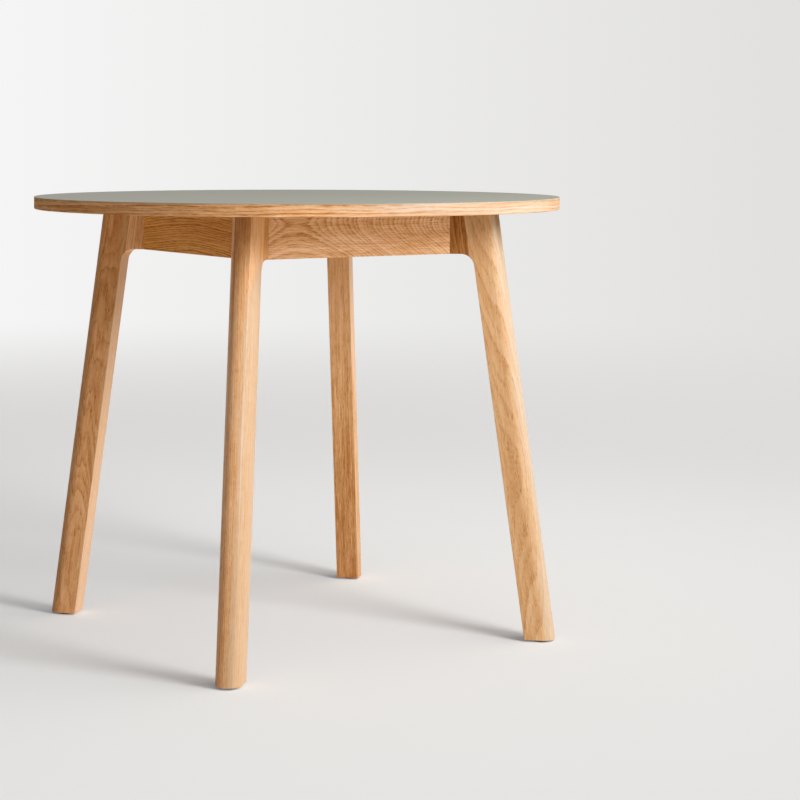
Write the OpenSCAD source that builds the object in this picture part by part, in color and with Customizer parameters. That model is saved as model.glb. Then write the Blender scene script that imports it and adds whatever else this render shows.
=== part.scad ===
// Round cafe table: a laminate top with an oak edge band, on four splayed oak legs.
// The legs stand in the diagonals of a square apron frame. Each leg carries a glued-on
// shoulder block, whose pointed nose seats on the square ends of two aprons and is drawn
// in by two bolts through a corner brace. Slim levelling glides screw into the leg ends.
// Origin: on the floor, under the centre of the top. +Z is up, the aprons run along X and Y.

/* [Table] */
// Height of the table, floor to top face
table_h = 760; // [680:1:800]
// Diameter of the round top
top_d = 910; // [820:5:1200]

/* [Top] */
// Thickness of the laminate sheet
surface_t = 1; // [0.6:0.1:2]
// Thickness of the board inside the top
core_t = 18.7; // [15:0.1:30]
// Thickness of the balancing sheet under the board
backer_t = 0.8; // [0.5:0.1:2]
// Width of the oak band, across its grain from rim to board
band_w = 6; // [3:0.5:20]
// Bevel along the lower rim of the band
band_bevel = 0.8; // [0.3:0.1:2]

/* [Legs] */
// Thickness of a leg, which is also the diameter of its rounded outer edge
leg_w = 42.5; // [38:0.5:55]
// Depth of a leg, square to its length, from its flat inner edge to its rounded edge
leg_d = 50; // [44:0.5:65]
// Lean of the legs from upright, in degrees
splay = 8.1; // [4:0.1:11]

/* [Apron frame] */
// How far the top reaches past the middle of an apron's outer face
top_overhang = 246; // [190:1:280]
// Height of the aprons and of the shoulder blocks
apron_h = 75.5; // [70:0.5:90]
// Thickness of the aprons
apron_t = 22; // [20:0.5:28]

/* [Leg heads] */
// Length of a shoulder block's flat side, from the apron to the glue line, at half its height
shoulder_flat = 28.25; // [24:0.25:40]
// How far the glue line lies inside the line of the leg's inner edge
glue_inset = 5.5; // [2:0.5:10]
// Radius of the hollow between the shoulder block and the leg
fillet_r = 23; // [10:0.5:32]
// Length cut off the point of the nose, which leaves a flat for the bolts
nose_cut = 8; // [7:0.5:12]
// Thickness of the loose tenon across the glue line
tenon_t = 10; // [6:1:14]
// Width of the loose tenon, along the glue line
tenon_w = 45; // [25:1:50]
// Length of the loose tenon, across the glue line
tenon_len = 32; // [20:1:36]
// Room left round the loose tenon for glue
tenon_gap = 0.15; // [0.05:0.05:0.3]

/* [Corner braces] */
// Thickness of a corner brace
brace_t = 26; // [20:1:34]
// Height of a corner brace
brace_h = 55; // [46:1:58]
// Distance from the bottom of the apron up to the brace
brace_lift = 4; // [1:0.5:8]
// Room between the nose and the brace, so that the bolts draw the block onto the apron ends
brace_gap = 8; // [4:0.5:12]
// Diameter of the brace screws
brace_screw_d = 4; // [3:0.5:5]
// Length of the brace screws
brace_screw_len = 32; // [28:1:36]
// Diameter of the screw heads in their pockets
brace_screw_head_d = 8; // [6:0.5:9]
// Height of the screw heads
brace_screw_head_h = 2.4; // [1.5:0.1:3]
// Distance between the two rows of brace screws
brace_screw_pitch = 34; // [24:1:40]
// Depth of brace left under a screw head
screw_seat = 15; // [12:0.5:17]

/* [Leg bolts] */
// Diameter of the leg bolts
bolt_d = 8; // [6:1:8]
// Length of the leg bolts under the head
bolt_len = 50; // [44:1:55]
// Width of the bolt heads across corners
bolt_head_d = 15; // [12:0.5:16]
// Height of the bolt heads
bolt_head_h = 5.3; // [4:0.1:6]
// Room round a bolt in the brace
bolt_room = 0.5; // [0.3:0.1:1]
// Distance between the two bolts of a leg
bolt_pitch = 30; // [24:1:34]
// Diameter of the washers
washer_d = 18; // [16:1:22]
// Thickness of the washers
washer_t = 1.6; // [1:0.1:2]
// Outer diameter of the threaded inserts in the shoulder blocks
leg_insert_d = 12; // [10:0.5:13]
// Length of the threaded inserts in the shoulder blocks
leg_insert_len = 18; // [12:1:19]
// Depth of the blind bolt hole past the bolt and the insert
bolt_hole_rest = 2; // [1:0.5:3]

/* [Top fixings] */
// Number of clips on each apron
clips_per_apron = 2; // [1:1:4]
// Distance between the clips of one apron
clip_spacing = 176; // [120:4:200]
// Width of a clip
clip_w = 26; // [18:1:32]
// Thickness of the clip's steel
clip_t = 1.8; // [1.2:0.1:2.4]
// Depth of the groove in the aprons
groove_d = 8; // [6:0.5:10]
// Height of the groove
groove_h = 3; // [2.6:0.1:4]
// Distance from the top of the apron down to the groove
groove_drop = 10; // [8:0.5:12]
// How far a clip stands off the apron
clip_stand = 6; // [4:0.5:8]
// How deep a clip reaches into the groove
clip_reach = 6; // [4:0.5:6]
// Length of the clip's foot under the top
clip_foot = 26; // [20:1:30]
// Diameter of the clip screws
clip_screw_d = 4; // [3:0.5:5]
// Length of the clip screws
clip_screw_len = 16; // [10:1:16]
// Diameter of the clip screw heads
clip_screw_head_d = 8; // [6:0.5:9]
// Height of the clip screw heads
clip_screw_head_h = 2.2; // [1.5:0.1:3]

/* [Levelling glides] */
// Diameter of a glide
glide_d = 30; // [24:0.5:31]
// Full height of a glide
glide_h = 7; // [6.5:0.1:9]
// Height of a glide that shows under the leg when it is screwed right in
glide_show = 3; // [2:0.1:5]
// Room round a glide in its recess
glide_room = 1.2; // [0.5:0.1:2]
// Rounding of a glide's lower rim
glide_round = 1; // [0.4:0.1:1.8]
// Diameter of the glide's threaded stem
stem_d = 8; // [6:1:10]
// Length of the stem above the glide
stem_len = 26; // [22:1:32]
// Diameter of the stem's foot, which turns inside the glide
stem_foot_d = 13; // [11:0.5:16]
// Height of the stem's foot
stem_foot_h = 2; // [1.5:0.1:2.5]
// Thickness of the glide under the stem's foot
glide_floor = 2; // [1.5:0.1:2.5]
// Outer diameter of the threaded inserts in the leg ends
foot_insert_d = 13; // [12:0.5:14]
// Length of the threaded inserts in the leg ends
foot_insert_len = 15; // [12:1:18]
// Room past the end of the stem in the leg
stem_rest = 4; // [2:0.5:8]

/* [Fits] */
// Running clearance round the stems, on the radius
run_gap = 0.05; // [0.02:0.01:0.09]
// Clearance round screws, bolts and inserts in their holes, on the radius
hole_gap = 0.05; // [0.02:0.01:0.09]

/* [Hidden] */
$fn = 96;

// Colours
oak = [0.80, 0.60, 0.40];
oak_dark = [0.66, 0.46, 0.27];
oak_pale = [0.85, 0.67, 0.47];
sage = [0.62, 0.62, 0.57];
board = [0.62, 0.50, 0.36];
steel = [0.70, 0.71, 0.72];
nylon = [0.10, 0.10, 0.10];

// Extra length that carries a cut past the face it opens
over = 1;
// Corners of the frame, counted by their turn about Z from the back right one
corner_count = 4;
last_corner = corner_count - 1;

// Heights of the top's layers and of the frame under it
top_r = top_d/2;
under_z = table_h - surface_t - core_t - backer_t;
core_r = top_r - band_w;
apron_z = under_z - apron_h;

// Apron frame, and where its square ends and the shoulder's flat sides meet; in the plane of
// the table's diagonal u runs outward
frame_half = top_r - top_overhang;
apron_half = frame_half - leg_w/sqrt(2);
apron_in = frame_half - apron_t;
seam_u = frame_half*sqrt(2) - leg_w/2;
nose_u = seam_u - leg_w/2 + nose_cut;

// Glue line between shoulder block and leg, and the leg's two edges along it
lean = tan(splay);
tenon_z = apron_z + apron_h/2;
tenon_u = seam_u + shoulder_flat;
leg_du = leg_d/cos(splay);
function glue_u(z) = tenon_u + lean*(tenon_z - z);
function inner_u(z) = glue_u(z) + glue_inset/cos(splay);
function outer_u(z) = inner_u(z) + leg_du;
leg_z = glide_show;
foot_r = outer_u(0);

// Hollow between shoulder block and leg: centre of its arc, and where the arc meets the leg
hollow_z = apron_z - fillet_r;
hollow_u = inner_u(hollow_z) - fillet_r/cos(splay);
hollow_end_z = hollow_z + fillet_r*sin(splay);

// Corner brace, across the corner behind the nose
brace_out_u = nose_u - brace_gap;
brace_in_u = brace_out_u - brace_t;
brace_z = apron_z + brace_lift;
brace_mid_z = brace_z + brace_h/2;
// A brace screw stands midway in the brace's end, or further in where the bolts' washers need room
screw_head_x = apron_in - screw_seat;
screw_mid_y = (brace_out_u + brace_in_u)/sqrt(2) - apron_in;
washer_clear = washer_d/2 + brace_screw_head_d/2 + bolt_room;
screw_y = min(screw_mid_y, screw_head_x - washer_clear*sqrt(2));

// Leg bolts and their inserts
bolt_u = brace_in_u - washer_t;
bolt_zs = [brace_mid_z - bolt_pitch/2, brace_mid_z + bolt_pitch/2];
bolt_hole_end_u = max(bolt_u + bolt_len, nose_u + leg_insert_len) + bolt_hole_rest;

// Clips: their groove, and the places along an apron
groove_z = under_z - groove_drop - groove_h;
clip_ys = [for (i = [0:clips_per_apron - 1]) (i - (clips_per_apron - 1)/2)*clip_spacing];
clip_bend_x = apron_in - clip_stand - clip_t;
clip_screw_x = clip_bend_x - clip_foot/2;

// Glides: their axis stands midway in the foot
glide_u = outer_u(leg_z) - leg_du/2;
recess_h = glide_h - glide_show;
stem_top_z = glide_h + stem_len;
insert_z = leg_z + recess_h;

// Children are drawn in the plane of a diagonal, with u along +X
module at_corner(i) {
    rotate([0, 0, 45 + 90*i]) children();
}

// Children are drawn on the +X side of the frame
module at_side(i) {
    rotate([0, 0, 90*i]) children();
}

// A drawing in u and z, given a thickness t across the diagonal
module across(t) {
    rotate([90, 0, 0])
        linear_extrude(height = t, center = true)
            children();
}

// A cylinder along u, from u0 to u1, at height z
module along_u(r, u0, u1, z, sides = $fn) {
    translate([u0, 0, z])
        rotate([0, 90, 0])
            cylinder(r = r, h = u1 - u0, $fn = sides);
}

module ring(r_out, r_in, h) {
    difference() {
        cylinder(r = r_out, h = h);
        translate([0, 0, -over])
            cylinder(r = r_in, h = h + 2*over);
    }
}

// The top

module top_surface() {
    color(sage)
        translate([0, 0, table_h - surface_t])
            cylinder(r = top_r, h = surface_t, $fn = 180);
}

module edge_band() {
    band_h = core_t + backer_t;
    color(oak_pale)
        translate([0, 0, under_z])
            rotate_extrude($fn = 180)
                polygon([
                    [core_r, 0],
                    [top_r - band_bevel, 0],
                    [top_r, band_bevel],
                    [top_r, band_h],
                    [core_r, band_h]
                ]);
}

module clip_screw_holes(r, z0, z1) {
    for (i = [0:last_corner])
        at_side(i)
            for (y = clip_ys)
                translate([clip_screw_x, y, z0])
                    cylinder(r = r, h = z1 - z0, $fn = 24);
}

module top_core() {
    hole_top = under_z + clip_screw_len - clip_t;
    color(board)
        difference() {
            translate([0, 0, under_z + backer_t])
                cylinder(r = core_r, h = core_t, $fn = 180);
            clip_screw_holes(clip_screw_d/2 + hole_gap, under_z, hole_top + hole_gap);
        }
}

module backer_sheet() {
    color(board)
        difference() {
            translate([0, 0, under_z])
                cylinder(r = core_r, h = backer_t, $fn = 180);
            clip_screw_holes(clip_screw_d/2 + hole_gap, under_z - over, under_z + backer_t + over);
        }
}

// The apron frame

// One apron, on the +X side, with its groove, the pilot holes of its brace screws, and room
// for the leg bolts where a thick apron reaches them
module apron(tone) {
    color(tone)
        difference() {
            translate([apron_in, -apron_half, apron_z])
                cube([apron_t, 2*apron_half, apron_h]);
            translate([apron_in - over, -apron_half - over, groove_z])
                cube([groove_d + over, 2*(apron_half + over), groove_h]);
            for (side = [-1, 1], row = [-1, 1])
                translate([screw_head_x, side*screw_y, brace_mid_z + row*brace_screw_pitch/2])
                    rotate([0, 90, 0])
                        cylinder(r = brace_screw_d/2 + hole_gap, h = brace_screw_len + hole_gap, $fn = 24);
            for (turn = [-45, 45], z = bolt_zs)
                rotate([0, 0, turn])
                    along_u(bolt_d/2 + bolt_room, brace_in_u, seam_u, z);
        }
}

module apron_right() { at_side(0) apron(oak); }
module apron_back() { at_side(1) apron(oak); }
module apron_left() { at_side(2) apron(oak_dark); }
module apron_front() { at_side(3) apron(oak); }

// The corner braces

// Plan of the brace: its ends lie flat on the inner faces of two aprons
module brace_plan() {
    reach_out = apron_in*sqrt(2) - brace_out_u;
    reach_in = apron_in*sqrt(2) - brace_in_u;
    polygon([
        [brace_out_u, -reach_out],
        [brace_out_u, reach_out],
        [brace_in_u, reach_in],
        [brace_in_u, -reach_in]
    ]);
}

// Children are drawn on the +X apron and repeated for both ends and both rows of screws
module at_brace_screws() {
    for (end = [-1, 1], row = [-1, 1])
        mirror([0, end > 0 ? 1 : 0, 0])
            rotate([0, 0, -45])
                translate([screw_head_x, screw_y, brace_mid_z + row*brace_screw_pitch/2])
                    rotate([0, 90, 0])
                        children();
}

module brace() {
    pocket_depth = brace_t*sqrt(2);
    color(oak_dark)
        difference() {
            translate([0, 0, brace_z])
                linear_extrude(height = brace_h)
                    brace_plan();
            for (z = bolt_zs)
                along_u(bolt_d/2 + bolt_room, brace_in_u - over, brace_out_u + over, z);
            at_brace_screws() {
                translate([0, 0, -pocket_depth])
                    cylinder(r = brace_screw_head_d/2 + bolt_room, h = pocket_depth, $fn = 32);
                translate([0, 0, -over])
                    cylinder(r = brace_screw_d/2 + hole_gap, h = screw_seat + 2*over, $fn = 24);
            }
        }
}

module brace_back_right() { at_corner(0) brace(); }
module brace_back_left() { at_corner(1) brace(); }
module brace_front_left() { at_corner(2) brace(); }
module brace_front_right() { at_corner(3) brace(); }

module brace_screws() {
    color(steel)
        for (i = [0:last_corner])
            at_corner(i)
                at_brace_screws() {
                    translate([0, 0, -brace_screw_head_h])
                        cylinder(r = brace_screw_head_d/2, h = brace_screw_head_h, $fn = 32);
                    cylinder(r = brace_screw_d/2, h = brace_screw_len, $fn = 24);
                }
}

// The legs

// Slot for the loose tenon, or the tenon itself: a bar with round edges along the glue line
module tenon(gap) {
    r = tenon_t/2 + gap;
    half = tenon_w/2 - tenon_t/2;
    translate([tenon_u, 0, tenon_z])
        rotate([0, 90 - splay, 0])
            linear_extrude(height = tenon_len + 2*gap, center = true) {
                translate([-half, -r])
                    square([2*half, 2*r]);
                for (end = [-half, half])
                    translate([end, 0])
                        circle(r = r, $fn = 32);
            }
}

// Side drawing of a leg: the leaning board, and its head up to the glue line
module leg_side() {
    difference() {
        polygon([
            [inner_u(leg_z), leg_z],
            [outer_u(leg_z) + leg_w, leg_z],
            [outer_u(under_z) + leg_w, under_z],
            [glue_u(under_z), under_z],
            [glue_u(hollow_end_z), hollow_end_z],
            [inner_u(hollow_end_z), hollow_end_z]
        ]);
        translate([hollow_u, hollow_z])
            circle(r = fillet_r);
    }
}

// The board's flat sides and rounded outer edge, leaning with the leg
module leg_round() {
    reach = leg_d + 2*glue_inset;
    translate([foot_r, 0, 0])
        rotate([0, -splay, 0])
            translate([0, 0, -leg_w])
                linear_extrude(height = table_h + 2*leg_w) {
                    translate([-leg_w/2, 0])
                        circle(r = leg_w/2);
                    translate([-reach, -leg_w/2])
                        square([reach - leg_w/2, leg_w]);
                }
}

module leg() {
    color(oak)
        difference() {
            intersection() {
                across(2*leg_w)
                    leg_side();
                leg_round();
            }
            tenon(tenon_gap);
            translate([glide_u, 0, leg_z - over])
                cylinder(r = glide_d/2 + glide_room, h = recess_h + over);
            translate([glide_u, 0, leg_z])
                cylinder(r = foot_insert_d/2 + hole_gap, h = recess_h + foot_insert_len);
            translate([glide_u, 0, leg_z])
                cylinder(r = stem_d/2 + bolt_room, h = recess_h + stem_len + stem_rest);
        }
}

module leg_back_right() { at_corner(0) leg(); }
module leg_back_left() { at_corner(1) leg(); }
module leg_front_left() { at_corner(2) leg(); }
module leg_front_right() { at_corner(3) leg(); }

// The shoulder blocks

// Side drawing of a block: from its nose to the glue line, with its share of the hollow
module shoulder_side() {
    difference() {
        polygon([
            [0, apron_z],
            [hollow_u, apron_z],
            [hollow_u, hollow_end_z],
            [glue_u(hollow_end_z), hollow_end_z],
            [glue_u(under_z), under_z],
            [0, under_z]
        ]);
        translate([hollow_u, hollow_z])
            circle(r = fillet_r);
    }
}

// Plan of a block: flat sides, and a blunt nose that seats on two square apron ends
module shoulder_plan() {
    polygon([
        [nose_u, -nose_cut],
        [seam_u, -leg_w/2],
        [foot_r, -leg_w/2],
        [foot_r, leg_w/2],
        [seam_u, leg_w/2],
        [nose_u, nose_cut]
    ]);
}

module shoulder() {
    color(oak_dark)
        difference() {
            intersection() {
                across(2*leg_w)
                    shoulder_side();
                translate([0, 0, hollow_z])
                    linear_extrude(height = fillet_r + apron_h)
                        shoulder_plan();
            }
            tenon(tenon_gap);
            for (z = bolt_zs) {
                along_u(leg_insert_d/2 + hole_gap, nose_u - over, nose_u + leg_insert_len + hole_gap, z);
                along_u(bolt_d/2 + hole_gap, nose_u, bolt_hole_end_u, z);
            }
        }
}

module shoulder_back_right() { at_corner(0) shoulder(); }
module shoulder_back_left() { at_corner(1) shoulder(); }
module shoulder_front_left() { at_corner(2) shoulder(); }
module shoulder_front_right() { at_corner(3) shoulder(); }

module shoulder_tenons() {
    color(oak_pale)
        for (i = [0:last_corner])
            at_corner(i)
                tenon(0);
}

// Bolts, washers and inserts of the leg heads

module leg_bolts() {
    color(steel)
        for (i = [0:last_corner], z = bolt_zs)
            at_corner(i) {
                along_u(bolt_head_d/2, bolt_u - bolt_head_h, bolt_u, z, 6);
                along_u(bolt_d/2, bolt_u, bolt_u + bolt_len, z);
            }
}

module bolt_washers() {
    color(steel)
        for (i = [0:last_corner], z = bolt_zs)
            at_corner(i)
                translate([bolt_u, 0, z])
                    rotate([0, 90, 0])
                        ring(washer_d/2, bolt_d/2 + bolt_room, washer_t);
}

module leg_inserts() {
    color(steel)
        for (i = [0:last_corner], z = bolt_zs)
            at_corner(i)
                translate([nose_u, 0, z])
                    rotate([0, 90, 0])
                        ring(leg_insert_d/2, bolt_d/2 + hole_gap, leg_insert_len);
}

// The fixings of the top

// A bent steel clip: a tongue in the groove, a riser, and a foot under the top
module clip() {
    rise = under_z - groove_z;
    translate([0, clip_w/2, groove_z])
        rotate([90, 0, 0])
            linear_extrude(height = clip_w) {
                translate([clip_bend_x, 0])
                    square([clip_stand + clip_t + clip_reach, clip_t]);
                translate([clip_bend_x, 0])
                    square([clip_t, rise]);
                translate([clip_bend_x - clip_foot, rise - clip_t])
                    square([clip_foot + clip_t, clip_t]);
            }
}

module top_clips() {
    color(steel)
        difference() {
            for (i = [0:last_corner])
                at_side(i)
                    for (y = clip_ys)
                        translate([0, y, 0])
                            clip();
            clip_screw_holes(clip_screw_d/2 + hole_gap, under_z - 2*clip_t, under_z + over);
        }
}

module clip_screws() {
    head_z = under_z - clip_t;
    color(steel)
        for (i = [0:last_corner])
            at_side(i)
                for (y = clip_ys)
                    translate([clip_screw_x, y, head_z]) {
                        cylinder(r = clip_screw_d/2, h = clip_screw_len, $fn = 24);
                        translate([0, 0, -clip_screw_head_h])
                            cylinder(r = clip_screw_head_d/2, h = clip_screw_head_h, $fn = 32);
                    }
}

// The levelling glides

module glide_inserts() {
    color(steel)
        for (i = [0:last_corner])
            at_corner(i)
                translate([glide_u, 0, insert_z])
                    ring(foot_insert_d/2, stem_d/2 + run_gap, foot_insert_len);
}

// A round glide with the pocket in which the stem's foot turns
module glide() {
    pocket_h = stem_foot_h + 2*run_gap;
    color(nylon)
        translate([glide_u, 0, 0])
            rotate_extrude()
                difference() {
                    polygon([
                        [0, 0],
                        [glide_d/2 - glide_round, 0],
                        [glide_d/2, glide_round],
                        [glide_d/2, glide_h],
                        [0, glide_h]
                    ]);
                    translate([0, glide_floor])
                        square([stem_foot_d/2 + run_gap, pocket_h]);
                    translate([0, glide_floor])
                        square([stem_d/2 + run_gap, glide_h]);
                }
}

module glide_back_right() { at_corner(0) glide(); }
module glide_back_left() { at_corner(1) glide(); }
module glide_front_left() { at_corner(2) glide(); }
module glide_front_right() { at_corner(3) glide(); }

module stem() {
    foot_z = glide_floor + run_gap;
    color(steel)
        translate([glide_u, 0, foot_z]) {
            cylinder(r = stem_foot_d/2, h = stem_foot_h);
            cylinder(r = stem_d/2, h = stem_top_z - foot_z);
        }
}

module stem_back_right() { at_corner(0) stem(); }
module stem_back_left() { at_corner(1) stem(); }
module stem_front_left() { at_corner(2) stem(); }
module stem_front_right() { at_corner(3) stem(); }

top_surface();
edge_band();
top_core();
backer_sheet();
apron_front();
apron_right();
apron_back();
apron_left();
leg_back_right();
leg_back_left();
leg_front_left();
leg_front_right();
shoulder_back_right();
shoulder_back_left();
shoulder_front_left();
shoulder_front_right();
brace_back_right();
brace_back_left();
brace_front_left();
brace_front_right();
shoulder_tenons();
leg_bolts();
bolt_washers();
leg_inserts();
brace_screws();
top_clips();
clip_screws();
glide_inserts();
glide_back_right();
glide_back_left();
glide_front_left();
glide_front_right();
stem_back_right();
stem_back_left();
stem_front_left();
stem_front_right();
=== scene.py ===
"""Looks of a round cafe table: a matte laminate top with an oak edge band, on splayed oak legs.

Everything is in metres in the table's own frame: +Z up, the origin on the floor under the
centre of the top, the aprons along X and Y, and the legs in the diagonals.
"""

import math

import bmesh
import bpy
from mathutils import Matrix, Vector


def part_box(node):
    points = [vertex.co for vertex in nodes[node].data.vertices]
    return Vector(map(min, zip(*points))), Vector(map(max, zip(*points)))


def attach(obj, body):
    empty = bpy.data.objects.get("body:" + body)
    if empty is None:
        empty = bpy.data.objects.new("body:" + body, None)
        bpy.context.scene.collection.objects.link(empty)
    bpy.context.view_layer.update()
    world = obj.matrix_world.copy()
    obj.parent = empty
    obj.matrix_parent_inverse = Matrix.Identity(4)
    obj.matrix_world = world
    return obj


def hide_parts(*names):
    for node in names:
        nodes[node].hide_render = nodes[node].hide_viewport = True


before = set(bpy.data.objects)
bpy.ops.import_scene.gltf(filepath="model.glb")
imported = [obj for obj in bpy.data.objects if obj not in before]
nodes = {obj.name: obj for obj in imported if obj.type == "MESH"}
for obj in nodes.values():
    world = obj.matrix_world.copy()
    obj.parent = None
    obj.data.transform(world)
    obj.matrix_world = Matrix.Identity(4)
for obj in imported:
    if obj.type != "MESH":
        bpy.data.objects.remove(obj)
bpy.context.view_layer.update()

MM = 0.001

# The picture is square, and these two camera figures are in its pixels
PICTURE = 800
FOCAL_PIXELS = 2119.06
OPTICAL_CENTRE = (305, 290)
CAMERA_DISTANCE = 3.6978
CAMERA_HEIGHT = 0.8601
# Angles in the floor's plane are bearings from +X, in degrees
CAMERA_BEARING = -120.879
CAMERA_PAN = 0.0038334
CAMERA_TILT = 0.0714137
CAMERA_ROLL = 0.0013666
SENSOR_MM = 36

CORNERS = {"back_right": 45, "back_left": 135, "front_left": 225, "front_right": 315}
SIDES = {"right": 0, "back": 90, "left": 180, "front": 270}

# How far the legs lean out, and their width across the flat sides
LEAN = math.radians(8.1)
LEG_WIDTH = 42.5*MM

# Vertices closer than this are one, and faces at less than this are one flat face
WELD = 0.001*MM
FLAT = math.radians(0.5)
# An edge is a corner from this angle on, and shading breaks at this one
CORNER = math.radians(30)
CREASE = math.radians(40)
# Slack for telling which line or plane an edge lies on
NEAR = 0.1*MM


def turned(degrees):
    """The unit vector in the floor's plane at that bearing."""
    angle = math.radians(degrees)
    return Vector((math.cos(angle), math.sin(angle), 0))


RIGHT_OF_VIEW = turned(CAMERA_BEARING + 90)


# Shader tools

def feed(tree, socket, value):
    """Sets an input to a value, or links it to another node's output."""
    if isinstance(value, bpy.types.NodeSocket):
        tree.links.new(value, socket)
    else:
        socket.default_value = value


def calc(tree, operation, a, b=0.0, c=0.0):
    node = tree.nodes.new("ShaderNodeMath")
    node.operation = operation
    for socket, value in zip(node.inputs, (a, b, c)):
        feed(tree, socket, value)
    return node.outputs[0]


def vector_calc(tree, operation, a, b=(0, 0, 0)):
    node = tree.nodes.new("ShaderNodeVectorMath")
    node.operation = operation
    feed(tree, node.inputs[0], a)
    feed(tree, node.inputs[1], b)
    return node.outputs["Value" if operation in ("LENGTH", "DOT_PRODUCT") else "Vector"]


def scaled(tree, vector, factor):
    node = tree.nodes.new("ShaderNodeVectorMath")
    node.operation = "SCALE"
    feed(tree, node.inputs[0], vector)
    feed(tree, node.inputs["Scale"], factor)
    return node.outputs["Vector"]


def total(tree, *terms):
    """The sum of (value, factor) pairs."""
    result = 0.0
    for value, factor in terms:
        result = calc(tree, "MULTIPLY_ADD", value, factor, result)
    return result


def ranged(tree, value, low, high, to_low=0.0, to_high=1.0, smooth=False):
    node = tree.nodes.new("ShaderNodeMapRange")
    node.interpolation_type = "SMOOTHSTEP" if smooth else "LINEAR"
    for name, item in (("Value", value), ("From Min", low), ("From Max", high),
                       ("To Min", to_low), ("To Max", to_high)):
        feed(tree, node.inputs[name], item)
    return node.outputs["Result"]


def ramp(tree, value, stops):
    """A grey ramp through (place, level) stops."""
    node = tree.nodes.new("ShaderNodeValToRGB")
    elements = node.color_ramp.elements
    while len(elements) < len(stops):
        elements.new(0.5)
    for element, (place, level) in zip(elements, stops):
        element.position = place
        element.color = (level, level, level, 1)
    feed(tree, node.inputs["Fac"], value)
    return node.outputs["Color"]


def mixed(tree, share, a, b):
    node = tree.nodes.new("ShaderNodeMix")
    node.data_type = "RGBA"
    feed(tree, node.inputs[0], share)
    feed(tree, node.inputs[6], a)
    feed(tree, node.inputs[7], b)
    return node.outputs[2]


def noise(tree, vector, stretch, detail=2.0, roughness=0.5, output="Fac"):
    """Noise with stretch cells in a metre along each axis."""
    node = tree.nodes.new("ShaderNodeTexNoise")
    feed(tree, node.inputs["Vector"], vector_calc(tree, "MULTIPLY", vector, stretch))
    node.inputs["Scale"].default_value = 1
    node.inputs["Detail"].default_value = detail
    node.inputs["Roughness"].default_value = roughness
    return node.outputs[output]


def swing(tree, value):
    """A value from 0 to 1 made one from -0.5 to 0.5."""
    return calc(tree, "SUBTRACT", value, 0.5)


def parts_of(tree, vector):
    node = tree.nodes.new("ShaderNodeSeparateXYZ")
    feed(tree, node.inputs[0], vector)
    return node.outputs


def object_place(tree):
    return tree.nodes.new("ShaderNodeTexCoord").outputs["Object"]


def new_material(name):
    material = bpy.data.materials.new(name)
    material.use_nodes = True
    tree = material.node_tree
    tree.nodes.clear()
    output = tree.nodes.new("ShaderNodeOutputMaterial")
    shader = tree.nodes.new("ShaderNodeBsdfPrincipled")
    tree.links.new(shader.outputs[0], output.inputs["Surface"])
    return material, tree, shader


def surface(tree, kind, colour):
    """A plain surface, light or background of that colour."""
    node = tree.nodes.new("ShaderNode" + kind)
    feed(tree, node.inputs["Color"], colour)
    return node.outputs[0]


def mixed_surfaces(tree, share, a, b):
    node = tree.nodes.new("ShaderNodeMixShader")
    for socket, value in zip(node.inputs, (share, a, b)):
        feed(tree, socket, value)
    return node.outputs[0]


def set_roughness(tree, shader, base, *marks):
    """marks are (value, factor) pairs that are added to the base."""
    feed(tree, shader.inputs["Roughness"], total(tree, *marks, (1.0, base)))


def add_bump(tree, shader, height, distance, strength):
    bump = tree.nodes.new("ShaderNodeBump")
    bump.inputs["Strength"].default_value = strength
    bump.inputs["Distance"].default_value = distance
    feed(tree, bump.inputs["Height"], height)
    tree.links.new(bump.outputs[0], shader.inputs["Normal"])


# Camera and light

def add_camera():
    turn = Matrix.Rotation(math.radians(CAMERA_BEARING + 90), 3, "Z")
    forward = turn @ Vector((math.sin(CAMERA_PAN)*math.cos(CAMERA_TILT),
                             math.cos(CAMERA_PAN)*math.cos(CAMERA_TILT),
                             -math.sin(CAMERA_TILT)))
    level = turn @ Vector((math.cos(CAMERA_PAN), -math.sin(CAMERA_PAN), 0))
    upright = level.cross(forward)
    right = math.cos(CAMERA_ROLL)*level + math.sin(CAMERA_ROLL)*upright
    up = math.cos(CAMERA_ROLL)*upright - math.sin(CAMERA_ROLL)*level
    data = bpy.data.cameras.new("camera")
    data.sensor_fit = "HORIZONTAL"
    data.sensor_width = SENSOR_MM
    data.lens = FOCAL_PIXELS*SENSOR_MM/PICTURE
    data.shift_x = (PICTURE/2 - OPTICAL_CENTRE[0])/PICTURE
    data.shift_y = (OPTICAL_CENTRE[1] - PICTURE/2)/PICTURE
    camera = bpy.data.objects.new("camera", data)
    camera.matrix_world = Matrix((right, up, -forward)).transposed().to_4x4()
    camera.location = CAMERA_DISTANCE*turned(CAMERA_BEARING) + Vector((0, 0, CAMERA_HEIGHT))
    bpy.context.scene.collection.objects.link(camera)
    bpy.context.scene.camera = camera


# The key is a round soft lamp, and its level is what it gives a surface at the table's middle
KEY_BEARING = -70.8
KEY_DISTANCE = 2.01
KEY_HEIGHT = 1.42
KEY_SIZE = 0.8
KEY_LEVEL = 0.80
KEY_COLOUR = (0.95, 1.0, 1.04)
MIDDLE = Vector((0, 0, 0.4))

# Soft light from all round: bearing, height in degrees and strength of each broad patch
SOFT_LIGHT = ((CAMERA_BEARING + 45, 18, 1.4), (CAMERA_BEARING + 90, 18, 1.8), (0, 90, 0.36))
SOFT_COLOUR = (1.08, 1.0, 0.93)
SOFT_FALLOFF = 4
# What the soft light gives the open floor
SOFT_LEVEL = 0.526


def key_place():
    return KEY_DISTANCE*turned(KEY_BEARING) + Vector((0, 0, KEY_HEIGHT))


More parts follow.
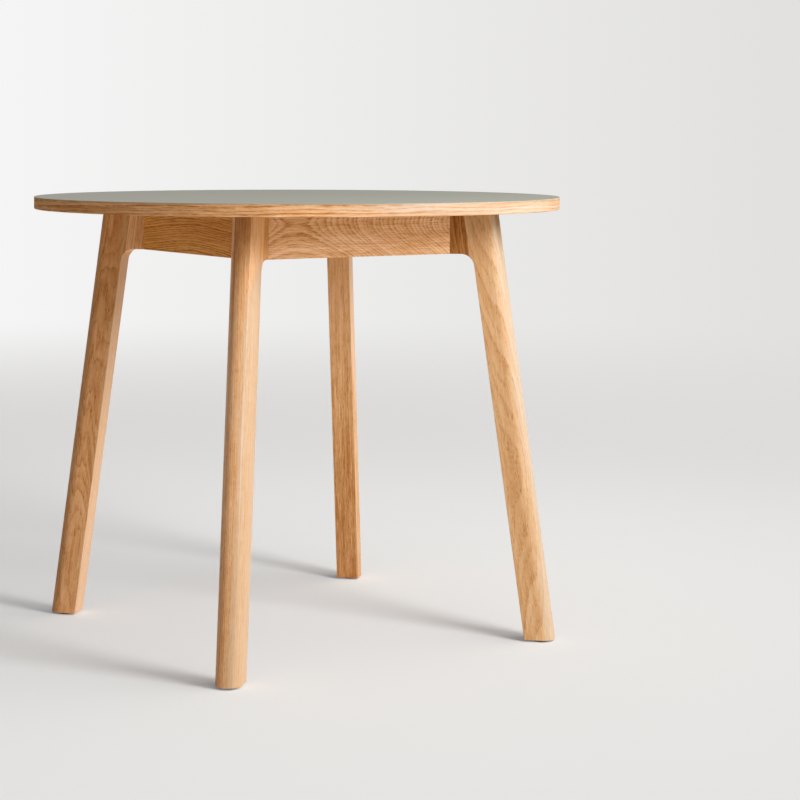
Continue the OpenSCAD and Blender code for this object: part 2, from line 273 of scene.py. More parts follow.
def add_key():
    aim = key_place() - MIDDLE
    data = bpy.data.lights.new("key", "AREA")
    data.shape = "DISK"
    data.size = KEY_SIZE
    # A white surface that faces a lamp shows its energy / (pi * distance)**2
    data.energy = KEY_LEVEL*math.pi**2*aim.length_squared
    data.color = KEY_COLOUR
    lamp = bpy.data.objects.new("key", data)
    lamp.location = key_place()
    lamp.rotation_euler = aim.to_track_quat("Z", "Y").to_euler()
    bpy.context.scene.collection.objects.link(lamp)


# Backdrop and floor. The wall is brighter on the left, and the floor dips where they meet
WALL_LEFT = (0.912, 0.912, 0.912, 1)
WALL_RIGHT = (0.757, 0.750, 0.735, 1)
WALL_SPAN = (-0.14, 0.22)
FLOOR_NEAR = (0.795, 0.792, 0.780, 1)
FLOOR_DIP = (0.715, 0.708, 0.695, 1)
FLOOR_SIZE = 14
# The distances from the table's middle over which the floor dips, and turns into the wall
DIP_RANGE = (0.6, 2.6)
WALL_RANGE = (2.6, 6.6)
# The dip's edge is clouded: cells in a metre, and how far they shift it
CLOUD_CELLS = (1.3, 1.3, 1.3)
CLOUD_REACH = 0.2
# The floor is a little brighter on the right: the sines of both sides, and each side's factor
FLOOR_SIDES = (-0.14, 0.14, 0.97, 1.02)
# The share of the shown floor's light that no shadow reaches. It keeps the shadows grey
FLOOR_LIFT = Vector((0.165, 0.20, 0.235))
# The floor's own colour, which is what it sheds on the table
FLOOR_SHED = (0.92, 0.79, 0.60, 1)


def wall_colour(tree, sideways):
    """The wall's colour by how far to the right one looks, as a sine."""
    return mixed(tree, ranged(tree, sideways, *WALL_SPAN), WALL_LEFT, WALL_RIGHT)


def shown(tree):
    """1 for what is seen, also in a reflection or through glass, and 0 for what sheds light."""
    ray = tree.nodes.new("ShaderNodeLightPath").outputs
    mirrored = calc(tree, "MAXIMUM", ray["Is Glossy Ray"], ray["Is Transmission Ray"])
    return calc(tree, "MAXIMUM", ray["Is Camera Ray"], mirrored)


def soft_strength(tree, direction):
    """The sum of the broad patches of soft light in a direction."""
    strength = 0.0
    for bearing, height, level in SOFT_LIGHT:
        tilt = math.radians(height)
        middle = math.cos(tilt)*turned(bearing) + Vector((0, 0, math.sin(tilt)))
        facing = calc(tree, "MAXIMUM", vector_calc(tree, "DOT_PRODUCT", direction, middle), 0)
        patch = calc(tree, "POWER", facing, SOFT_FALLOFF)
        strength = calc(tree, "MULTIPLY_ADD", patch, level, strength)
    return strength


def add_world():
    world = bpy.data.worlds.new("studio")
    bpy.context.scene.world = world
    world.use_nodes = True
    tree = world.node_tree
    tree.nodes.clear()
    direction = tree.nodes.new("ShaderNodeTexCoord").outputs["Generated"]
    sideways = vector_calc(tree, "DOT_PRODUCT", direction, RIGHT_OF_VIEW)
    wall = surface(tree, "Background", wall_colour(tree, sideways))
    soft = tree.nodes.new("ShaderNodeBackground")
    soft.inputs["Color"].default_value = (*SOFT_COLOUR, 1)
    feed(tree, soft.inputs["Strength"], soft_strength(tree, direction))
    output = tree.nodes.new("ShaderNodeOutputWorld")
    feed(tree, output.inputs["Surface"], mixed_surfaces(tree, shown(tree), soft.outputs[0], wall))


def floor_light(tree, place):
    """What the key and the soft light give the open floor, as a colour."""
    aim = key_place() - MIDDLE
    to_key = vector_calc(tree, "SUBTRACT", tuple(key_place()), place)
    distance = vector_calc(tree, "LENGTH", to_key)
    facing = vector_calc(tree, "DOT_PRODUCT", to_key, tuple(aim.normalized()))
    # Behind the lamp there is none of it
    facing = calc(tree, "MAXIMUM", facing, 0)
    spread = calc(tree, "DIVIDE", facing, calc(tree, "POWER", distance, 4))
    key = calc(tree, "MULTIPLY", spread, KEY_LEVEL*aim.length_squared*KEY_HEIGHT)
    soft = scaled(tree, SOFT_COLOUR, SOFT_LEVEL)
    return vector_calc(tree, "ADD", scaled(tree, KEY_COLOUR, key), soft)


def evened_floor(tree, place, look):
    """A surface that has the colours of look in the open, and is darker where it is shaded."""
    even = vector_calc(tree, "DIVIDE", look, floor_light(tree, place))
    lit = vector_calc(tree, "MULTIPLY", even, Vector((1, 1, 1)) - FLOOR_LIFT)
    lift = vector_calc(tree, "MULTIPLY", look, FLOOR_LIFT)
    both = tree.nodes.new("ShaderNodeAddShader")
    feed(tree, both.inputs[0], surface(tree, "BsdfDiffuse", lit))
    feed(tree, both.inputs[1], surface(tree, "Emission", lift))
    return both.outputs[0]


def floor_material():
    """Shown, the floor evens out its light and runs into the wall, but it keeps its shadows."""
    material = bpy.data.materials.new("floor")
    material.use_nodes = True
    tree = material.node_tree
    tree.nodes.clear()
    place = object_place(tree)
    distance = vector_calc(tree, "LENGTH", place)
    cloud = swing(tree, noise(tree, place, CLOUD_CELLS, 3.0))
    dip = calc(tree, "ADD", distance, calc(tree, "MULTIPLY", cloud, CLOUD_REACH))
    look = mixed(tree, ranged(tree, dip, *DIP_RANGE, smooth=True), FLOOR_NEAR, FLOOR_DIP)
    sideways = calc(tree, "DIVIDE", vector_calc(tree, "DOT_PRODUCT", place, RIGHT_OF_VIEW),
                    calc(tree, "ADD", distance, CAMERA_DISTANCE))
    look = scaled(tree, look, ranged(tree, sideways, *FLOOR_SIDES))
    wall = surface(tree, "Emission", wall_colour(tree, sideways))
    seen = mixed_surfaces(tree, ranged(tree, distance, *WALL_RANGE, smooth=True),
                          evened_floor(tree, place, look), wall)
    shed = surface(tree, "BsdfDiffuse", FLOOR_SHED)
    above = mixed_surfaces(tree, shown(tree), shed, seen)
    # From below the floor is clear, so that the feet can be seen
    below = surface(tree, "BsdfTransparent", (1, 1, 1, 1))
    from_below = tree.nodes.new("ShaderNodeNewGeometry").outputs["Backfacing"]
    output = tree.nodes.new("ShaderNodeOutputMaterial")
    feed(tree, output.inputs["Surface"], mixed_surfaces(tree, from_below, above, below))
    return material


def add_floor():
    mesh = bpy.data.meshes.new("floor")
    shape = bmesh.new()
    bmesh.ops.create_circle(shape, cap_ends=True, radius=FLOOR_SIZE, segments=96)
    shape.to_mesh(mesh)
    shape.free()
    mesh.materials.append(floor_material())
    floor = bpy.data.objects.new("floor", mesh)
    bpy.context.scene.collection.objects.link(floor)


# Oak

def new_input(group, kind, name, value):
    socket = group.interface.new_socket(name, in_out="INPUT", socket_type="NodeSocket" + kind)
    socket.default_value = value


# Each kind of mark in the wood has so many cells in a metre, along the grain and across it
LONG_WAVE = (3, 13, 13)
SHORT_WAVE = (12, 60, 60)
JAG_WAVE = (45, 220, 220)
DASH_CELLS = (45, 450, 450)
PORE_CELLS = (120, 1500, 1500)
FIBRE_CELLS = (26, 520, 520)
STREAK_CELLS = (5, 150, 150)
PATCH_CELLS = (2.4, 24, 24)
FLECK_CELLS = (70, 420, 420)
# The noise levels between which a mark fades in
DASH_RANGE = (0.44, 0.58)
PORE_RANGE = (0.52, 0.62)
FLECK_RANGE = (0.60, 0.72)
# The reach of the short wave as a share of the long one's
SHORT_WAVE_SHARE = 0.24
# The rings' widths drift: cells in each ring, and how many rings they shift
DRIFT_CELLS = 0.45
DRIFT_REACH = 1.6
# How much early wood there is at each place in a ring
EARLY_WOOD = [(0.0, 1.0), (0.12, 0.95), (0.34, 0.40), (0.60, 0.08), (0.88, 0.0), (1.0, 0.6)]
# How far Seed moves a board through the noise
SEED_STEP = (1.7, 3.1, 5.3)
# How much each mark lightens the wood, or darkens it
STREAK_TONE = 1.8
FIBRE_TONE = 2.0
PATCH_TONE = 1.4
DASH_TONE = -0.10
RING_TONE = 0.14
PORE_TONE = -0.35
FLECK_TONE = 0.12
# The painted highlight's edge, drawn like paler sapwood on a board's lit side: how soft it is,
# how much streaks and patches shift it, and how fast it thins out beyond Crown
HIGHLIGHT_SOFTNESS = 0.5
HIGHLIGHT_STREAK = 1.2
HIGHLIGHT_PATCH = 1.0
HIGHLIGHT_THINNING = 18
# The painted highlight also washes out the grain: the even tone that it is drawn towards, and how far
HIGHLIGHT_TONE = 0.8
HIGHLIGHT_PLAINNESS = 0.5
# The wood's roughness and its relief, and what pores, fibres and early wood add to them
OAK_ROUGHNESS = 0.37
PORE_ROUGHNESS = 0.14
FIBRE_ROUGHNESS = 0.10
PORE_HEIGHT = -0.8
FIBRE_HEIGHT = 0.4
EARLY_HEIGHT = -0.2


def wandering(tree, given, space, across):
    """The place across the grain, shifted by waves of three sizes along the board."""
    lesser = calc(tree, "MULTIPLY", given["Wander"], SHORT_WAVE_SHARE)
    for cells, reach in ((LONG_WAVE, given["Wander"]), (SHORT_WAVE, lesser), (JAG_WAVE, given["Jags"])):
        cloud = noise(tree, space, cells, output="Color")
        wave = vector_calc(tree, "SUBTRACT", cloud, (0.5, 0.5, 0.5))
        across = vector_calc(tree, "ADD", across, scaled(tree, wave, reach))
    return across


def ring_count(tree, given, space):
    """How many growth rings lie between the pith and a point."""
    run = calc(tree, "SUBTRACT", parts_of(tree, given["Board"])[0], parts_of(tree, given["Pith"])[0])
    across = vector_calc(tree, "SUBTRACT", given["Board"], given["Pith"])
    across = vector_calc(tree, "SUBTRACT", across, scaled(tree, given["Tilt"], run))
    across = vector_calc(tree, "MULTIPLY", wandering(tree, given, space, across), (0, 1, 1))
    bend = calc(tree, "SQRT", total(tree, (calc(tree, "MULTIPLY", run, run), 1.0),
                                    (calc(tree, "MULTIPLY", given["Turn"], given["Turn"]), 1.0)))
    depth = calc(tree, "SUBTRACT", vector_calc(tree, "LENGTH", across),
                 calc(tree, "MULTIPLY", bend, given["Taper"]))
    count = calc(tree, "DIVIDE", depth, given["Spacing"])
    drift = tree.nodes.new("ShaderNodeTexNoise")
    drift.noise_dimensions = "1D"
    drift.inputs["Scale"].default_value = DRIFT_CELLS
    feed(tree, drift.inputs["W"], calc(tree, "ADD", count, given["Seed"]))
    return total(tree, (count, 1.0), (drift.outputs["Fac"], DRIFT_REACH))


def oak_sockets(tree):
    """Gives the oak group its inputs and outputs."""
    new_input(tree, "Vector", "Board", (0, 0, 0))
    new_input(tree, "Vector", "Pith", (0, 0, 0.1))
    new_input(tree, "Vector", "Tilt", (0, 0, 0))
    for name, value in (("Taper", 0.02), ("Turn", 0.0), ("Spacing", 0.004), ("Wander", 0.01),
                        ("Jags", 0.0005), ("Seed", 0.0), ("Rings", 0.40), ("Streaks", 0.6),
                        ("Patches", 0.5), ("Level", 0.70), ("Slope", 0.0), ("Edge", 0.0),
                        ("Reach", -1.0), ("Crown", 9.0)):
        new_input(tree, "Float", name, value)
    # This vector, Edge, Reach and Crown place the painted highlight on the board's lit side
    new_input(tree, "Vector", "Highlight_way", (0, 0, 0))
    # The last of these colours is the painted highlight's colour factor
    for name in ("Pale", "Mid", "Dark", "Highlight_tint"):
        new_input(tree, "Color", name, (0.5, 0.5, 0.5, 1))
    for kind, name in (("Color", "Color"), ("Float", "Roughness"), ("Float", "Height")):
        tree.interface.new_socket(name, in_out="OUTPUT", socket_type="NodeSocket" + kind)


def oak_marks(tree, given):
    """The marks that make up oak's figure. The early wood of each ring is a line, broken up
    by dashes, and most of the pores lie in it."""
    shift = scaled(tree, SEED_STEP, given["Seed"])
    space = vector_calc(tree, "ADD", given["Board"], shift)
    count = ring_count(tree, given, space)
    early = ramp(tree, calc(tree, "FRACT", count), EARLY_WOOD)
    tint = tree.nodes.new("ShaderNodeTexWhiteNoise")
    tint.noise_dimensions = "1D"
    feed(tree, tint.inputs["W"], calc(tree, "FLOOR", count))
    dash = ranged(tree, noise(tree, space, DASH_CELLS, 2.0), *DASH_RANGE, smooth=True)
    pore = ranged(tree, noise(tree, space, PORE_CELLS, 1.0), *PORE_RANGE, smooth=True)
    return {
        "early": early,
        "ring": swing(tree, tint.outputs["Value"]),
        "dash": dash,
        "line": calc(tree, "MULTIPLY", early, calc(tree, "MULTIPLY_ADD", dash, 0.35, 0.65)),
        "pore": calc(tree, "MULTIPLY", pore, calc(tree, "MULTIPLY_ADD", early, 0.75, 0.25)),
        "fibre": swing(tree, noise(tree, space, FIBRE_CELLS, 3.0, 0.65)),
        "streak": swing(tree, noise(tree, space, STREAK_CELLS, 4.0, 0.65)),
        "patch": swing(tree, noise(tree, space, PATCH_CELLS, 2.0)),
        "fleck": ranged(tree, noise(tree, space, FLECK_CELLS, 2.0), *FLECK_RANGE),
    }


def oak_tone(tree, given, marks, run):
    """How pale the wood is, from 0 to 1."""
    return total(tree, (given["Level"], 1.0), (calc(tree, "MULTIPLY", run, given["Slope"]), 1.0),
                 (calc(tree, "MULTIPLY", marks["line"], given["Rings"]), -1.0),
                 (calc(tree, "MULTIPLY", marks["streak"], given["Streaks"]), STREAK_TONE),
                 (calc(tree, "MULTIPLY", marks["fibre"], given["Streaks"]), FIBRE_TONE),
                 (calc(tree, "MULTIPLY", marks["patch"], given["Patches"]), PATCH_TONE),
                 (marks["dash"], DASH_TONE), (marks["ring"], RING_TONE),
                 (marks["pore"], PORE_TONE), (marks["fleck"], FLECK_TONE))


def painted_highlight_share(tree, given, marks, run):
    """1 in the painted highlight, which is drawn as paler sapwood, and 0 elsewhere."""
    off = calc(tree, "SUBTRACT", vector_calc(tree, "DOT_PRODUCT", given["Board"], given["Highlight_way"]),
               given["Edge"])
    beyond = calc(tree, "MAXIMUM", calc(tree, "SUBTRACT", run, given["Crown"]), 0)
    depth = total(tree, (given["Reach"], 1.0), (calc(tree, "ABSOLUTE", off), -1.0),
                  (marks["streak"], HIGHLIGHT_STREAK), (marks["patch"], HIGHLIGHT_PATCH),
                  (beyond, -HIGHLIGHT_THINNING))
    return ranged(tree, depth, -HIGHLIGHT_SOFTNESS, HIGHLIGHT_SOFTNESS, smooth=True)


def oak_group():
    """Solid oak in a board's own space, where x runs along the grain. The growth rings go
    round a pith line that lies at Pith and leans by Tilt. Taper and Turn draw them out into
    arches along the board, and Wander and Jags make them uneven. Level is the board's tone,
    and Slope is its change for each metre along it. A painted highlight, drawn as paler and
    plainer sapwood, lies where the board's place along the highlight's way is within Reach of
    Edge, and it ends beyond Crown along the board."""
    tree = bpy.data.node_groups.new("oak", "ShaderNodeTree")
    oak_sockets(tree)
    given = tree.nodes.new("NodeGroupInput").outputs
    result = tree.nodes.new("NodeGroupOutput").inputs
    run = parts_of(tree, given["Board"])[0]
    marks = oak_marks(tree, given)
    tone = oak_tone(tree, given, marks, run)
    # Painted highlight: a paler, plainer side stands in for the light on a board's lit edge
    highlight = painted_highlight_share(tree, given, marks, run)
    washed_out = calc(tree, "MULTIPLY", highlight, calc(tree, "SUBTRACT", HIGHLIGHT_TONE, tone))
    tone = total(tree, (tone, 1.0), (washed_out, HIGHLIGHT_PLAINNESS))
    lower = mixed(tree, ranged(tree, tone, 0.0, 0.5), given["Dark"], given["Mid"])
    wood = mixed(tree, ranged(tree, tone, 0.5, 1.0), lower, given["Pale"])
    tinted = mixed(tree, highlight, (1, 1, 1, 1), given["Highlight_tint"])
    feed(tree, result["Color"], vector_calc(tree, "MULTIPLY", wood, tinted))
    feed(tree, result["Roughness"],
         total(tree, (marks["pore"], PORE_ROUGHNESS), (marks["fibre"], FIBRE_ROUGHNESS),
               (1.0, OAK_ROUGHNESS)))
    feed(tree, result["Height"],
         total(tree, (marks["pore"], PORE_HEIGHT), (marks["fibre"], FIBRE_HEIGHT),
               (marks["early"], EARLY_HEIGHT)))
    return tree


OAK_PALE = (0.80, 0.51, 0.270)
OAK_MID = (0.60, 0.31, 0.115)
OAK_DARK = (0.36, 0.13, 0.028)
# What the painted highlight, drawn as paler sapwood, makes of those colours
PAINTED_HIGHLIGHT_TINT = (0.72, 0.87, 1.30, 1)
OAK_IOR = 1.5
OAK_RELIEF = 0.12*MM


def oak(name, board, tint=(1, 1, 1), gloss=0.05, **figure):
    """An oak material. board places the board's space, and figure gives the values of the
    oak group's other inputs."""
    material, tree, shader = new_material(name)
    wood = tree.nodes.new("ShaderNodeGroup")
    wood.node_tree = OAK
    feed(tree, wood.inputs["Board"], board(tree))
    for socket, colour in (("Pale", OAK_PALE), ("Mid", OAK_MID), ("Dark", OAK_DARK)):
        wood.inputs[socket].default_value = (*(c*t for c, t in zip(colour, tint)), 1)
    # The colour factor of the painted highlight on the board's lit side
    wood.inputs["Highlight_tint"].default_value = PAINTED_HIGHLIGHT_TINT
    for socket, value in figure.items():
        wood.inputs[socket].default_value = value
    feed(tree, shader.inputs["Base Color"], wood.outputs["Color"])
    feed(tree, shader.inputs["Roughness"], wood.outputs["Roughness"])
    shader.inputs["IOR"].default_value = OAK_IOR
    shader.inputs["Specular IOR Level"].default_value = gloss
    add_bump(tree, shader, wood.outputs["Height"], OAK_RELIEF, 0.5)
    return material


def straight_board(origin, along, across):
    """The space of a straight board: x along the grain, y across its face, z the third way."""
    x = Vector(along).normalized()
    z = x.cross(Vector(across)).normalized()
    rotation = Matrix((x, z.cross(x), z)).transposed().to_euler()

    def place(tree):
        mapping = tree.nodes.new("ShaderNodeMapping")
        mapping.vector_type = "TEXTURE"
        mapping.inputs["Location"].default_value = origin
        mapping.inputs["Rotation"].default_value = rotation
        feed(tree, mapping.inputs["Vector"], object_place(tree))
        return mapping.outputs["Vector"]
    return place


def bent_board(radius, height, start):
    """The space of a strip bent round the rim: x along it from a bearing, y up it, z out of it."""
    def place(tree):
        # Turned so that the angle's jump lies behind the start
        turn = tree.nodes.new("ShaderNodeVectorRotate")
        turn.rotation_type = "Z_AXIS"
        turn.inputs["Angle"].default_value = -math.radians(start)
        feed(tree, turn.inputs["Vector"], object_place(tree))
        x, y, z = parts_of(tree, turn.outputs[0])
        out = calc(tree, "SQRT", total(tree, (calc(tree, "MULTIPLY", x, x), 1.0),
                                       (calc(tree, "MULTIPLY", y, y), 1.0)))
        joined = tree.nodes.new("ShaderNodeCombineXYZ")
        feed(tree, joined.inputs["X"], calc(tree, "MULTIPLY", calc(tree, "ARCTAN2", y, x), radius))
        feed(tree, joined.inputs["Y"], calc(tree, "SUBTRACT", z, height))
        feed(tree, joined.inputs["Z"], calc(tree, "SUBTRACT", out, radius))
        return joined.outputs[0]
    return place


# The other materials

LAMINATE_DARK = (0.285, 0.285, 0.235, 1)
LAMINATE_PALE = (0.335, 0.335, 0.28, 1)
LAMINATE_IOR = 1.45


def laminate():
    """Matte grey-green laminate, with the slight mottle of its pressed surface."""
    material, tree, shader = new_material("laminate")
    place = object_place(tree)
    grain = noise(tree, place, (900, 900, 900), 2.0)
    mottle = noise(tree, place, (6, 6, 6), 4.0, 0.6)
    share = total(tree, (mottle, 0.6), (grain, 0.4))
    feed(tree, shader.inputs["Base Color"], mixed(tree, share, LAMINATE_DARK, LAMINATE_PALE))
    set_roughness(tree, shader, 0.52, (grain, 0.12))
    shader.inputs["IOR"].default_value = LAMINATE_IOR
    add_bump(tree, shader, grain, 0.03*MM, 0.4)
    return material


# The colours of the boards inside the top, and the cells in a metre of their chips
CORE = dict(low=(0.30, 0.20, 0.12, 1), high=(0.50, 0.38, 0.25, 1), cells=260)
BACKER = dict(low=(0.36, 0.25, 0.15, 1), high=(0.42, 0.30, 0.19, 1), cells=30)


def pressed_board(name, low, high, cells):
    """Chips and fibres pressed into a board."""
    material, tree, shader = new_material(name)
    chips = noise(tree, object_place(tree), (cells, cells, cells), 5.0, 0.7)
    feed(tree, shader.inputs["Base Color"], mixed(tree, ranged(tree, chips, 0.3, 0.7), low, high))
    set_roughness(tree, shader, 0.6, (chips, 0.2))
    add_bump(tree, shader, chips, 0.1*MM, 0.4)
    return material


STEEL_DARK = (0.50, 0.51, 0.52, 1)
STEEL_PALE = (0.68, 0.69, 0.70, 1)


def zinc_steel():
    """Zinc-plated steel with a faint brushed cloud."""
    material, tree, shader = new_material("zinc_steel")
    cloud = noise(tree, object_place(tree), (160, 160, 900), 3.0, 0.6)
    feed(tree, shader.inputs["Base Color"], mixed(tree, cloud, STEEL_DARK, STEEL_PALE))
    set_roughness(tree, shader, 0.25, (cloud, 0.25))
    shader.inputs["Metallic"].default_value = 1
    add_bump(tree, shader, cloud, 0.02*MM, 0.3)
    return material


NYLON_DARK = (0.012, 0.012, 0.013, 1)
NYLON_PALE = (0.03, 0.03, 0.032, 1)


def nylon():
    """Moulded black nylon with a fine spark-eroded grain."""
    material, tree, shader = new_material("nylon")
    grain = noise(tree, object_place(tree), (2500, 2500, 2500), 2.0)
    feed(tree, shader.inputs["Base Color"], mixed(tree, grain, NYLON_DARK, NYLON_PALE))
    set_roughness(tree, shader, 0.4, (grain, 0.2))
    add_bump(tree, shader, grain, 0.03*MM, 0.5)
    return material


# Wooden pieces

# How wide the eased edges are: round a leg's sole, along its inner edge and the hollow
# above it, under an apron, and at the seam of apron and leg
SOLE_EASE = 1.2*MM
INNER_EASE = 0.9*MM
UNDER_EASE = 0.8*MM
SEAM_EASE = 0.4*MM
EASE_STEPS = 3
# The rim of the recess in a sole stays sharp, out to this far beyond the glide
RECESS_ROOM = 1*MM
# What lies this far out from an apron's middle belongs to its outer face
OUTER_FACE = 5*MM


def eased(node, slot, material, *eases):
    """A copy of a wooden node's mesh with its sharp edges eased. eases are pairs of a width
    and a test, which says by an edge's midpoint whether the edge is eased that much."""
    shape = bmesh.new()
    shape.from_mesh(nodes[node].data)
    bmesh.ops.remove_doubles(shape, verts=shape.verts, dist=WELD)
    bmesh.ops.dissolve_limit(shape, angle_limit=FLAT, verts=shape.verts, edges=shape.edges)
    for width, test in eases:
        edges = [edge for edge in shape.edges if edge.calc_face_angle_signed(0) > CORNER
                 and test((edge.verts[0].co + edge.verts[1].co)/2)]
        bmesh.ops.bevel(shape, geom=edges, offset=width, segments=EASE_STEPS, profile=0.5,
                        affect="EDGES", clamp_overlap=True)
    mesh = bpy.data.meshes.new("oak_" + node)
    shape.to_mesh(mesh)
    shape.free()
    mesh.shade_smooth()
    mesh.set_sharp_from_angle(angle=CREASE)
    mesh.materials.append(material)
    piece = bpy.data.objects.new("oak_" + node, mesh)
    bpy.context.scene.collection.objects.link(piece)
    piece.modifiers.new("normals", "WEIGHTED_NORMAL").keep_sharp = True
    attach(piece, "table")
    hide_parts(node)


# How each board was cut. Pith is a point on the tree's middle, in the board's space: for a leg
# up from the foot, to the side and in towards the table, and for an apron along from its
# middle, up and out of the table. Each board's tint, Level and Slope are partly its own tone and
# partly painted light and shade: boards in shade are darker and more saturated, lit ones paler,
# and the painted highlight lies on each leg's lit edge
LEG_FIGURES = {
    "front_left": dict(tint=(1.08, 1.08, 1.19), gloss=0.42, Pith=(0.2, 0.085, 0.03), Taper=0.01,
                       Spacing=0.0024, Wander=0.006, Rings=0.22, Streaks=0.36, Level=0.69, Slope=0.04,
                       Highlight_way=(-1.4, 80, 0), Edge=1.9, Reach=1.95, Crown=0.61, Highlight_tint=(0.68, 0.79, 0.96, 1),
                       Seed=2.0),
    # Its Slope makes the head paler: painted light in the shade under the top
    "front_right": dict(tint=(0.91, 1.00, 1.22), gloss=0.35, Pith=(0.30, 0.05, -0.008), Taper=0.07,
                        Turn=0.05, Spacing=0.0030, Wander=0.008, Rings=0.13, Streaks=0.20, Level=0.65,
                        Slope=0.15, Highlight_way=(-0.4, 0, -60), Edge=2.0, Reach=1.3,
                        Highlight_tint=(0.75, 0.87, 1.07, 1), Seed=5.0),
    "back_left": dict(tint=(1.16, 1.23, 1.56), Pith=(0.42, -0.06, 0.004), Taper=0.03, Turn=0.08,
                      Spacing=0.0017, Wander=0.015, Rings=0.20, Streaks=0.25, Patches=0.2, Level=0.63,
                      Slope=-0.12, Highlight_way=(0, 0, 300), Edge=7.38, Reach=0.4,
                      Highlight_tint=(0.82, 0.94, 1.12, 1), Seed=9.0),
    # Its low Level and steep Slope make it darker towards the foot: a painted shadow
    "back_right": dict(tint=(1.04, 1.08, 1.24), Pith=(0.2, 0.09, 0.01), Taper=0.01, Spacing=0.0024,
                       Wander=0.006, Rings=0.25, Level=0.36, Slope=0.70, Highlight_way=(0, -300, 0), Edge=8.0,
                       Reach=2.1, Highlight_tint=(0.91, 1.02, 1.26, 1), Seed=13.0),
}
SHOULDER_CUT = dict(Pith=(0, 0.05, 0.06), Wander=0.006)
# The shoulders' tints and Level are painted light and shade: the front right one is darkened and the back
# left one lightened to follow the light on them
SHOULDER_FIGURES = {
    "front_left": dict(tint=(1.04, 1.05, 1.0), Seed=17.0),
    "front_right": dict(tint=(0.66, 0.57, 0.45), Rings=0.6, Seed=19.0),
    "back_left": dict(tint=(1.14, 1.18, 1.40), Level=1.0, Seed=23.0),
    "back_right": dict(tint=(1.0, 0.94, 0.88), Seed=29.0),
}
# The aprons' tints are painted light and shade: the lit front one is paler, the shaded left one darker
# and more saturated
APRON_FIGURES = {
    "front": dict(tint=(1.18, 1.31, 1.80), Pith=(-0.125, 0.018, -0.012), Taper=0.62, Turn=0.075,
                  Spacing=0.0050, Wander=0.013, Jags=0.0028, Rings=0.38, Streaks=0.42, Level=0.74,
                  Seed=31.0),
    "left": dict(tint=(1.26, 1.18, 0.84), Pith=(0.0, -0.10, -0.040), Taper=-0.10, Turn=0.08,
                 Spacing=0.0036, Wander=0.012, Rings=0.70, Streaks=0.5, Level=0.75, Seed=37.0),
    "back": dict(tint=(1.1, 1.02, 0.94), Pith=(0.05, 0.02, -0.070), Taper=0.30, Turn=0.05,
                 Spacing=0.006, Wander=0.008, Seed=41.0),
    "right": dict(tint=(1.1, 1.02, 0.94), Pith=(-0.06, -0.03, -0.060), Taper=0.25, Turn=0.04,
                  Spacing=0.005, Wander=0.008, Seed=43.0),
}


def leg_axes(corner):
    """The way along the leg, and the way across its flat sides."""
    out = turned(CORNERS[corner])
    side = Vector((-out.y, out.x, 0))
    axis = Vector((0, 0, 1))*math.cos(LEAN) - out*math.sin(LEAN)
    return axis, side


def dress_leg(corner):
    axis, side = leg_axes(corner)
    low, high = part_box("glide_" + corner)
    foot = (low + high)/2
    foot.z = 0
    recess = (high.x - low.x)/2 + RECESS_ROOM
    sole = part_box("leg_" + corner)[0].z + NEAR
    glue_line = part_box("shoulder_" + corner)[0].z
    flat_side = LEG_WIDTH/2 - NEAR

    def round_the_sole(point):
        return point.z < sole and math.hypot(point.x - foot.x, point.y - foot.y) > recess

    def on_the_inner_edge(point):
        return sole < point.z < glue_line and abs(point.dot(side)) > flat_side

    material = oak("oak_leg_" + corner, straight_board(foot, axis, side), **LEG_FIGURES[corner])
    eased("leg_" + corner, "oak_leg", material,
          (SOLE_EASE, round_the_sole), (INNER_EASE, on_the_inner_edge))


def dress_shoulder(corner):
    axis, side = leg_axes(corner)
    low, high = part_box("shoulder_" + corner)
    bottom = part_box("apron_front")[0].z + NEAR
    flat_side = LEG_WIDTH/2 - NEAR

    def along_the_hollow(point):
        return point.z < bottom and abs(point.dot(side)) > flat_side

    board = straight_board((low + high)/2, axis, side)
    material = oak("oak_shoulder_" + corner, board, **SHOULDER_CUT, **SHOULDER_FIGURES[corner])
    eased("shoulder_" + corner, "oak_shoulder", material, (INNER_EASE, along_the_hollow))


def dress_apron(name):
    out = turned(SIDES[name])
    along = Vector((-out.y, out.x, 0))
    low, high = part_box("apron_" + name)
    middle = (low + high)/2
    bottom = low.z + NEAR
    end = abs((high - low).dot(along))/2 - NEAR
    face = middle.dot(out) + OUTER_FACE

    def under(point):
        return point.z < bottom and abs(point.dot(along)) < end

    def at_the_seam(point):
        return abs(point.dot(along)) > end and point.dot(out) > face

    board = straight_board(middle, along, (0, 0, 1))
    material = oak("oak_apron_" + name, board, **APRON_FIGURES[name])
    eased("apron_" + name, "oak_apron", material, (UNDER_EASE, under), (SEAM_EASE, at_the_seam))


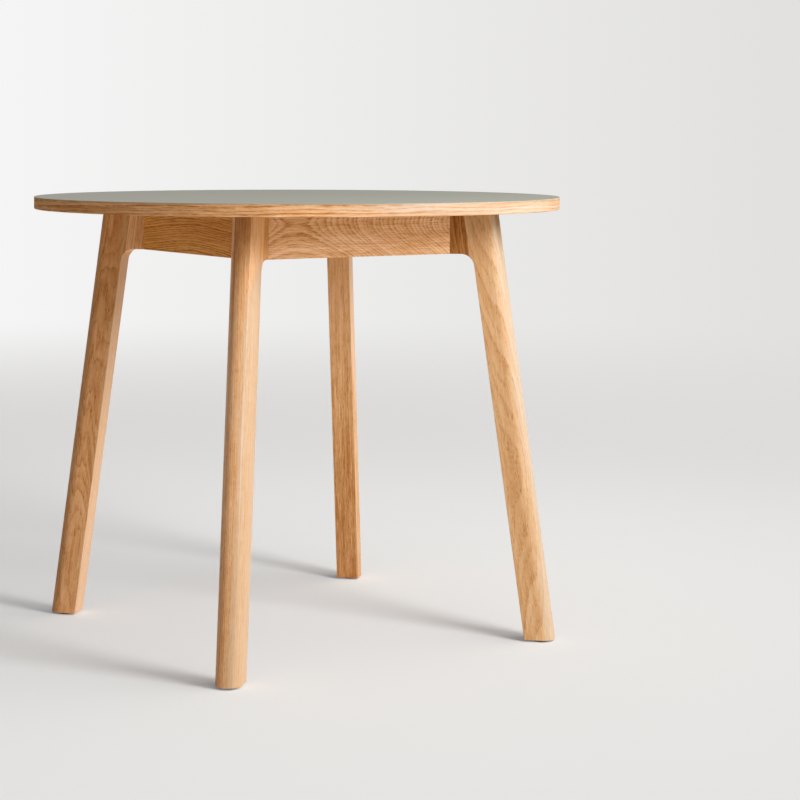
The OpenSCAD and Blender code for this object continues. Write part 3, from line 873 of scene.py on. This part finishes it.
# The band's tint and Slope are painted light and shade along the rim, and its painted highlight lies on
# the stretch that faces the lamp
BAND_FIGURE = dict(gloss=0.0, tint=(1.06, 1.09, 1.30), Pith=(0, 0.05, -0.04), Tilt=(0, 0.008, 0),
                   Spacing=0.0050, Wander=0.018, Taper=0.01, Rings=0.50, Streaks=0.7, Slope=-0.25,
                   Highlight_way=(4, 0, 0), Edge=6.0, Reach=5.6, Highlight_tint=(0.69, 0.83, 1.12, 1), Seed=51.0)
BRACE_FIGURE = dict(Pith=(0, 0.03, 0.05), Spacing=0.004, Taper=0.05, Seed=61.0)


def set_material(node, material):
    mesh = nodes[node].data
    mesh.materials.clear()
    mesh.materials.append(material)


def dress_top():
    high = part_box("top_surface")[1]
    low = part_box("edge_band")[0]
    strip = bent_board(high.x, (high.z + low.z)/2, CAMERA_BEARING)
    set_material("edge_band", oak("oak_edge", strip, **BAND_FIGURE))
    set_material("top_surface", laminate())
    set_material("top_core", pressed_board("core", **CORE))
    set_material("backer_sheet", pressed_board("backer", **BACKER))


def dress_hidden_wood():
    for corner, bearing in CORNERS.items():
        out = turned(bearing)
        low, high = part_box("brace_" + corner)
        board = straight_board((low + high)/2, (-out.y, out.x, 0), (0, 0, 1))
        set_material("brace_" + corner, oak("oak_brace_" + corner, board, **BRACE_FIGURE))
    board = straight_board((0, 0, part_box("shoulder_tenons")[0].z), (1, 0, 0), (0, 0, 1))
    set_material("shoulder_tenons", oak("oak_tenons", board, **BRACE_FIGURE))


STEEL_NODES = ["leg_bolts", "bolt_washers", "leg_inserts", "brace_screws", "top_clips", "clip_screws",
               "glide_inserts"]


def dress_fittings():
    steel = zinc_steel()
    for node in STEEL_NODES + ["stem_" + corner for corner in CORNERS]:
        set_material(node, steel)
    black = nylon()
    for corner in CORNERS:
        set_material("glide_" + corner, black)


add_camera()
add_key()
add_world()
add_floor()
OAK = oak_group()
for corner in CORNERS:
    dress_leg(corner)
    dress_shoulder(corner)
for name in SIDES:
    dress_apron(name)
dress_top()
dress_hidden_wood()
dress_fittings()

bpy.context.scene.view_settings.view_transform = "Standard"
